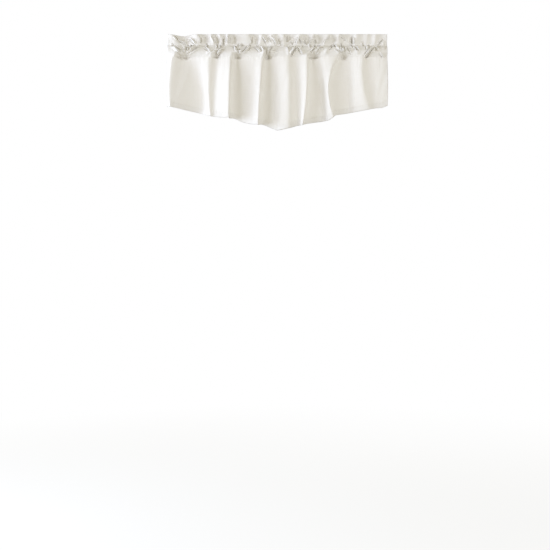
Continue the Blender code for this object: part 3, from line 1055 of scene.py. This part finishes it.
@dataclass(frozen=True)
class WhiteSurround:
    """The white beyond the floor: it glows evenly, and only the camera sees it."""

    name: str = "white_surround"
    strength: float = 1.0

    def build(self) -> bpy.types.Material:
        """Makes the surround's glowing material."""
        material = bpy.data.materials.new(self.name)
        material.use_nodes = True
        tree = material.node_tree
        tree.nodes.clear()
        glow = add_node(
            tree, "ShaderNodeEmission", Color=(1.0, 1.0, 1.0, 1.0), Strength=self.strength
        )
        add_node(tree, "ShaderNodeOutputMaterial", Surface=glow.outputs[0])
        return material


# ---------------------------------------------------------------------------------------------- pieces


@dataclass
class Stitching:
    """Lockstitch rows: short thread loops lying on the cloth, dipping in at each end."""

    length: float = 0.0030
    gap: float = 0.0009
    thread: float = 0.00042
    sides: int = 6

    def row(self, line: np.ndarray, out: np.ndarray) -> tuple[np.ndarray, np.ndarray]:
        """Lays one row of stitches.

        Args:
            line: Points along the row on the cloth's surface, shaped (places, 3).
            out: The cloth's outward normals there.

        Returns:
            The stitches' points and their faces as triangles of indices.
        """
        distance = run_length(line)
        starts = np.arange(self.gap, distance[-1] - self.length, self.length + self.gap)
        share = np.array([0.0, 0.12, 0.5, 0.88, 1.0])
        rise = np.array([-0.35, 0.35, 0.55, 0.35, -0.35]) * self.thread
        girth = np.array([0.45, 0.95, 1.0, 0.95, 0.45]) * self.thread / 2
        places = starts[:, None] + share * self.length
        centre = np.stack([np.interp(places, distance, line[:, k]) for k in range(3)], axis=2)
        up = np.stack([np.interp(places, distance, out[:, k]) for k in range(3)], axis=2)
        up /= np.linalg.norm(up, axis=2, keepdims=True)
        ahead = np.gradient(centre, axis=1)
        ahead /= np.maximum(np.linalg.norm(ahead, axis=2, keepdims=True), TINY)
        side = np.cross(up, ahead)
        centre = centre + up * rise[:, None]
        turn = np.arange(self.sides) * 2 * math.pi / self.sides
        ring = (
            np.cos(turn)[:, None] * side[:, :, None, :] + np.sin(turn)[:, None] * up[:, :, None, :]
        ) * girth[:, None, None]
        points = (centre[:, :, None, :] + ring).reshape(-1, 3)
        shape = (len(starts), len(share), self.sides)
        ids = np.arange(math.prod(shape)).reshape(shape)
        after = np.roll(ids, -1, axis=2)
        quads = np.stack([ids[:, :-1], after[:, :-1], after[:, 1:], ids[:, 1:]], axis=3).reshape(-1, 4)
        triangles = np.concatenate([quads[:, [0, 1, 2]], quads[:, [0, 2, 3]]])
        near, far = ids[:, 0], ids[:, -1]
        fan = range(1, self.sides - 1)
        caps = [np.stack([near[:, 0], near[:, k + 1], near[:, k]], axis=1) for k in fan]
        caps += [np.stack([far[:, 0], far[:, k], far[:, k + 1]], axis=1) for k in fan]
        return points, np.concatenate([triangles, *caps])

    def piece(
        self, name: str, rows: Sequence[tuple[np.ndarray, np.ndarray]], material: bpy.types.Material
    ) -> bpy.types.Object:
        """Joins rows of stitches into one object.

        Args:
            name: The object's name.
            rows: Each row's line and outward normals.
            material: The thread's material.

        Returns:
            The new object.
        """
        points: list[np.ndarray] = []
        faces: list[np.ndarray] = []
        count = 0
        for line, out in rows:
            row_points, row_faces = self.row(line, out)
            points.append(row_points)
            faces.append(row_faces + count)
            count += len(row_points)
        mesh = bpy.data.meshes.new(name)
        mesh.from_pydata(np.concatenate(points).tolist(), [], np.concatenate(faces).tolist())
        mesh.shade_smooth()
        mesh.materials.append(material)
        made = bpy.data.objects.new(name, mesh)
        bpy.context.scene.collection.objects.link(made)
        return made


@dataclass
class Heading:
    """The gathered heading: frill and rod pocket, one sheet from the seam over the top and back down."""

    folds: HangingFolds
    columns_per_line: int = 14
    pocket_rows: int = 40
    frill_rows: int = 30
    back_pocket_rows: int = 22
    back_frill_rows: int = 16
    turned_columns: int = 4
    turned_behind: float = 0.0005
    thread_pull: float = 0.0006
    thread_pull_width: float = 0.0022
    # The room kept for the rod, and how steeply the cloth may close in above and below it.
    rod_z: float = -0.066
    rod_half: float = 0.008
    rod_spare: float = 0.0008
    rod_slope: float = 1.5
    # How many rows and columns round a crease stand forward of that room, and where that ends by the seam.
    rod_reach: int = 3
    rod_fade: float = 0.012

    def build(self, cloth: bpy.types.Material, thread: bpy.types.Material) -> list[bpy.types.Object]:
        """Makes the heading's cloth and its two rows of stitching.

        Args:
            cloth: The cloth's material.
            thread: The sewing thread's material.

        Returns:
            The cloth, then its stitching.
        """
        grid, rows = self.layout()
        piece = grid.mesh("heading_cloth")
        piece.data.materials.append(cloth)
        normals = grid_normals(grid.points)
        keep = slice(self.turned_columns, grid.points.shape[1] - self.turned_columns)
        stitched = [(grid.points[row, keep], normals[row, keep]) for row in rows]
        stitches = Stitching().piece("heading_stitching", stitched, thread)
        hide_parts("heading")
        return [piece, stitches]

    def layout(self) -> tuple[ClothGrid, list[int]]:
        """Lays the cloth out, creases and turned sides included.

        Returns:
            The grid, and the rows of it that the stitching follows.
        """
        folds, s = self.folds, self.folds.sizes
        columns = np.linspace(0, len(FRILL_LINES) - 1, (len(FRILL_LINES) - 1) * self.columns_per_line + 1)
        near_pocket = np.linspace(1.0, 0.0, self.pocket_rows + 1)
        near_frill = np.linspace(0.0, 1.0, self.frill_rows + 1)[1:]
        far_frill = np.linspace(1.0, 0.0, self.back_frill_rows + 1)[1:]
        far_pocket = np.linspace(0.0, 1.0, self.back_pocket_rows + 1)[1:]
        front = folds.pocket(columns, near_pocket, Side.FRONT)
        frill_front = folds.frill(columns, near_frill)
        frill_back = folds.frill(columns, far_frill)
        back = folds.pocket(columns, far_pocket, Side.BACK)
        bulge = np.sqrt(np.clip(1 - near_frill**8, 0, 1))[:, None]
        frill_front[:, :, 1] -= s.cloth * (0.5 + 0.5 * bulge)
        far_bulge = np.sqrt(np.clip(1 - far_frill**8, 0, 1))[:, None]
        frill_back[:, :, 1] += s.cloth * (0.5 + 0.5 * far_bulge)
        front_rows = len(front) + len(frill_front)
        frill_end = front_rows + len(frill_back)
        grid = self.creased(np.concatenate([front, frill_front, frill_back, back]), front_rows, frill_end)
        turned = np.linspace(s.side_hem, s.side_hem / self.turned_columns, self.turned_columns)
        across = run_length(grid[self.pocket_rows])
        grid, across = with_turned_sides(grid, across, grid_normals(grid), turned, self.turned_behind)
        measured = range(0, grid.shape[1], LENGTH_STRIDE)
        along = np.mean([run_length(grid[:, k]) for k in measured], axis=0)
        across_map = np.broadcast_to(across, grid.shape[:2])
        along_map = np.broadcast_to(along[:, None], grid.shape[:2])
        stitched_rows = [self.pocket_rows, frill_end - 1, 1, len(grid) - 2]
        return ClothGrid(grid, across_map, along_map), stitched_rows

    def creased(self, grid: np.ndarray, front_rows: int, frill_end: int) -> np.ndarray:
        """Presses the creases into the front, and the frill's into its back layer too.

        Args:
            grid: The sheet's points.
            front_rows: How many rows make the front.
            frill_end: The row after the frill's back layer.

        Returns:
            The creased points.
        """
        s = self.folds.sizes
        normals = grid_normals(grid)
        x, z = grid[:, :, 0], grid[:, :, 2]
        push = crease_depth(x, z, CREASES)
        push[frill_end:] = 0.0
        # Fine puckers run out from the stitching, where the thread draws the cloth in.
        columns = np.linspace(0, len(FRILL_LINES) - 1, grid.shape[1])
        distance = run_length(self.folds.frill(columns, np.zeros(1))[0])
        off_upper, off_lower = z - s.stitch_z, z - s.seam_z
        fine = UPPER_PUCKER.lift(distance, off_upper) + SEAM_PUCKER.lift(distance, off_lower)
        fine[front_rows:frill_end] *= -1
        # The thread itself pulls a narrow valley.
        valley = -self.thread_pull * (
            np.exp(-((off_upper / self.thread_pull_width) ** 2))
            + np.exp(-((off_lower / self.thread_pull_width) ** 2))
        )
        worked = grid + normals * (fine + valley)[:, :, None]
        worked[:, :, 1] += push
        # The rod's room stays open: where a crease would sink into it, the cloth round it stands forward.
        front = slice(0, front_rows)
        beyond = np.maximum(0.0, abs(z[front] - self.rod_z) - self.rod_half)
        limit = self.rod_slope * beyond - self.rod_half - self.rod_spare
        too_deep = spread(np.maximum(0.0, worked[front, :, 1] - limit), self.rod_reach)
        off_seam = np.clip((z[front] - s.seam_z) / self.rod_fade, 0.0, 1.0)
        worked[front, :, 1] -= too_deep * off_seam
        return worked


@dataclass
class DropPanel:
    """The single cloth below the seam, with its lower edge and its sides turned to the back."""

    folds: HangingFolds
    columns_per_line: int = 14
    rows: int = 96
    turned_rows: int = 8
    turned_columns: int = 4
    turned_behind: float = 0.00064
    tuck: float = 0.002
    pleat_height: float = 0.0010
    pleat_pitch: float = 0.013
    pleat_seed: float = 1.1
    pleat_start: float = 0.004
    pleat_reach: float = 0.030
    slack_height: float = 0.0007
    slack_pitch: float = 0.055
    slack_seed: float = 0.9
    slack_slant: float = 0.35
    slack_reach: float = 0.2
    thread_pull: float = 0.0005
    thread_pull_width: float = 0.0016

    def build(self, cloth: bpy.types.Material, thread: bpy.types.Material) -> list[bpy.types.Object]:
        """Makes the panel's cloth and its hem stitching.

        Args:
            cloth: The cloth's material.
            thread: The sewing thread's material.

        Returns:
            The cloth, then its stitching.
        """
        s = self.folds.sizes
        grid, line, normals = self.layout()
        piece = grid.mesh("drop_cloth")
        piece.data.materials.append(cloth)
        stitches = Stitching().piece(
            "hem_stitching", [(line, normals), (line - normals * s.cloth * 2, -normals)], thread
        )
        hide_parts("drop_panel")
        return [piece, stitches]

    def layout(self) -> tuple[ClothGrid, np.ndarray, np.ndarray]:
        """Lays the panel out, from the turned hem's inner edge round to the seam.

        Returns:
            The grid, then the line of the hem's stitching and the normals along it.
        """
        folds, s = self.folds, self.folds.sizes
        columns = np.linspace(0, len(FOLD_LINES) - 1, (len(FOLD_LINES) - 1) * self.columns_per_line + 1)
        down = np.linspace(1.0, -self.tuck / (s.drop_side + s.seam_z), self.rows + 1)
        front = folds.panel(columns, down)
        front = self.worked(front)
        normals = grid_normals(front)
        length = np.stack([run_length(front[:, k]) for k in range(front.shape[1])], axis=1)
        turned = np.empty((self.turned_rows, front.shape[1], 3))
        line, line_out = np.empty((front.shape[1], 3)), np.empty((front.shape[1], 3))
        heights = np.linspace(s.hem, s.hem / self.turned_rows, self.turned_rows)
        for k in range(front.shape[1]):
            behind = front[:, k] - normals[:, k] * s.cloth
            for axis in range(3):
                turned[:, k, axis] = np.interp(heights, length[:, k], behind[:, axis])
                line[k, axis] = np.interp(s.hem_stitch, length[:, k], front[:, k, axis])
                line_out[k, axis] = np.interp(s.hem_stitch, length[:, k], normals[:, k, axis])
        grid = np.concatenate([turned, front])
        middle = run_length(front[self.rows // 2])
        along = np.concatenate([-heights, length.mean(axis=1)])
        outward = np.concatenate([normals[:1].repeat(self.turned_rows, axis=0), normals])
        turned_in = np.linspace(s.side_hem, s.side_hem / self.turned_columns, self.turned_columns)
        grid, across = with_turned_sides(grid, middle, outward, turned_in, self.turned_behind)
        across_map = np.broadcast_to(across, grid.shape[:2])
        along_map = np.broadcast_to(along[:, None], grid.shape[:2])
        line_out /= np.linalg.norm(line_out, axis=1, keepdims=True)
        return ClothGrid(grid, across_map, along_map), line, line_out

    def worked(self, front: np.ndarray) -> np.ndarray:
        """Adds the gathers' small pleats below the seam, and the puckers that sewing leaves in the hems.

        Args:
            front: The panel's points.

        Returns:
            The worked points.
        """
        s = self.folds.sizes
        normals = grid_normals(front)
        across = run_length(front[len(front) // 2])[None, :]
        below = s.seam_z - front[:, :, 2]
        above = np.stack([run_length(front[:, k]) for k in range(front.shape[1])], axis=1)
        pleats = self.pleat_height * uneven(across, self.pleat_pitch, self.pleat_seed)
        pleats = pleats * np.exp(-below / self.pleat_reach) * ease(below / self.pleat_start)
        pleats += SEAM_PUCKER.lift(across, below)
        off_hem = above - s.hem_stitch
        hem = HEM_PUCKER.lift(across, off_hem)
        hem -= self.thread_pull * np.exp(-((off_hem / self.thread_pull_width) ** 2))
        sides = LEFT_PUCKER.lift(above, across) + RIGHT_PUCKER.lift(above, across.max() - across)
        slanted = across + self.slack_slant * below
        slack = self.slack_height * uneven(slanted, self.slack_pitch, self.slack_seed)
        slack = slack * np.sin(np.clip(below / self.slack_reach, 0, 1) * math.pi)
        worked = front + normals * (pleats + hem + sides + slack)[:, :, None]
        # The heading's creases die away just below the seam.
        worked[:, :, 1] += crease_depth(front[:, :, 0], front[:, :, 2], CREASES)
        return worked


@dataclass
class Studio:
    """The plain pale floor, the soft lights and the camera."""

    eye: tuple[float, float, float] = (-0.0085, -3.0, -0.951)
    view_width: float = 2.1725
    sensor_mm: float = 36.0
    floor_z: float = -2.05
    floor_radius: float = 5.0
    floor_sides: int = 96
    surround_radius: float = 9.0

    def build(self) -> None:
        """Makes the camera, the lights and the surroundings."""
        self.camera()
        self.lights()
        self.surroundings()
        bpy.context.scene.view_settings.view_transform = "Standard"

    def camera(self) -> None:
        """Sets a level camera that looks straight at the wall, a little below the valance."""
        data = bpy.data.cameras.new("camera")
        data.sensor_width = self.sensor_mm
        data.lens = self.sensor_mm * -self.eye[1] / self.view_width
        camera = bpy.data.objects.new("camera", data)
        camera.location = self.eye
        camera.rotation_euler = (math.pi / 2, 0.0, 0.0)
        bpy.context.scene.collection.objects.link(camera)
        bpy.context.scene.camera = camera

    def area_light(
        self,
        name: str,
        place: Sequence[float],
        target: Sequence[float],
        size: float,
        watts: float,
        colour: str,
    ) -> None:
        """Adds one soft square light aimed at a point.

        Args:
            name: The light's name.
            place: Where it stands.
            target: The point that it faces.
            size: Its side in metres.
            watts: Its power.
            colour: Its sRGB hex colour.
        """
        data = bpy.data.lights.new(name, "AREA")
        data.size, data.energy, data.color = size, watts, linear(colour)[:3]
        light = bpy.data.objects.new(name, data)
        light.location = place
        light.rotation_euler = (Vector(target) - Vector(place)).to_track_quat("-Z", "Y").to_euler()
        bpy.context.scene.collection.objects.link(light)

    def lights(self) -> None:
        """Sets cool soft light from the left, weaker ones in front and behind, and a dim warm room."""
        middle = (0.0, 0.0, -0.2)
        self.area_light("window_light", (-3.245, -1.311, -0.2), middle, 2.4, 97.0, "#DFE6FF")
        self.area_light("side_light", (-3.481, -0.366, -0.2), middle, 1.3, 69.0, "#D9E9FF")
        self.area_light("front_light", (1.75, -3.031, -0.2), middle, 2.4, 62.0, "#ECF1FF")
        self.area_light("back_light", (1.2, 3.2, 0.3), middle, 2.4, 45.0, "#ECF0FF")
        world = bpy.data.worlds.new("room")
        bpy.context.scene.world = world
        world.use_nodes = True
        background = world.node_tree.nodes["Background"]
        background.inputs["Color"].default_value = linear("#FFF7DA")
        background.inputs["Strength"].default_value = 0.45

    def surroundings(self) -> None:
        """Lays the floor and closes the view with an even white."""
        floor_mesh = bpy.data.meshes.new("floor")
        turn = np.linspace(0, 2 * math.pi, self.floor_sides + 1)[:-1]
        level = np.full(self.floor_sides, self.floor_z)
        rim = np.stack([self.floor_radius * np.cos(turn), self.floor_radius * np.sin(turn), level], axis=1)
        floor_mesh.from_pydata(rim.tolist(), [], [list(range(self.floor_sides))])
        floor_mesh.materials.append(PaperFloor().build())
        floor = bpy.data.objects.new("floor", floor_mesh)
        bpy.ops.mesh.primitive_uv_sphere_add(segments=48, ring_count=24, radius=self.surround_radius)
        surround = bpy.context.object
        surround.name = "surround"
        surround.data.materials.append(WhiteSurround().build())
        bpy.context.scene.collection.objects.link(floor)
        for name in ("diffuse", "glossy", "transmission", "volume_scatter", "shadow"):
            setattr(surround, f"visible_{name}", False)
            setattr(floor, f"visible_{name}", False)


def main() -> None:
    """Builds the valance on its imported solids, then the studio round it."""
    logging.basicConfig(level=logging.INFO, format="%(name)s: %(message)s")
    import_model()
    folds = HangingFolds(ValanceSizes())
    cloth, thread = CottonDuck().build(), CottonThread().build()
    for assembly in (Heading(folds), DropPanel(folds)):
        for piece in assembly.build(cloth, thread):
            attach(piece, BODY)
            LOG.info("%s: %d faces", piece.name, len(piece.data.polygons))
    Studio().build()


if __name__ == "__main__":
    main()
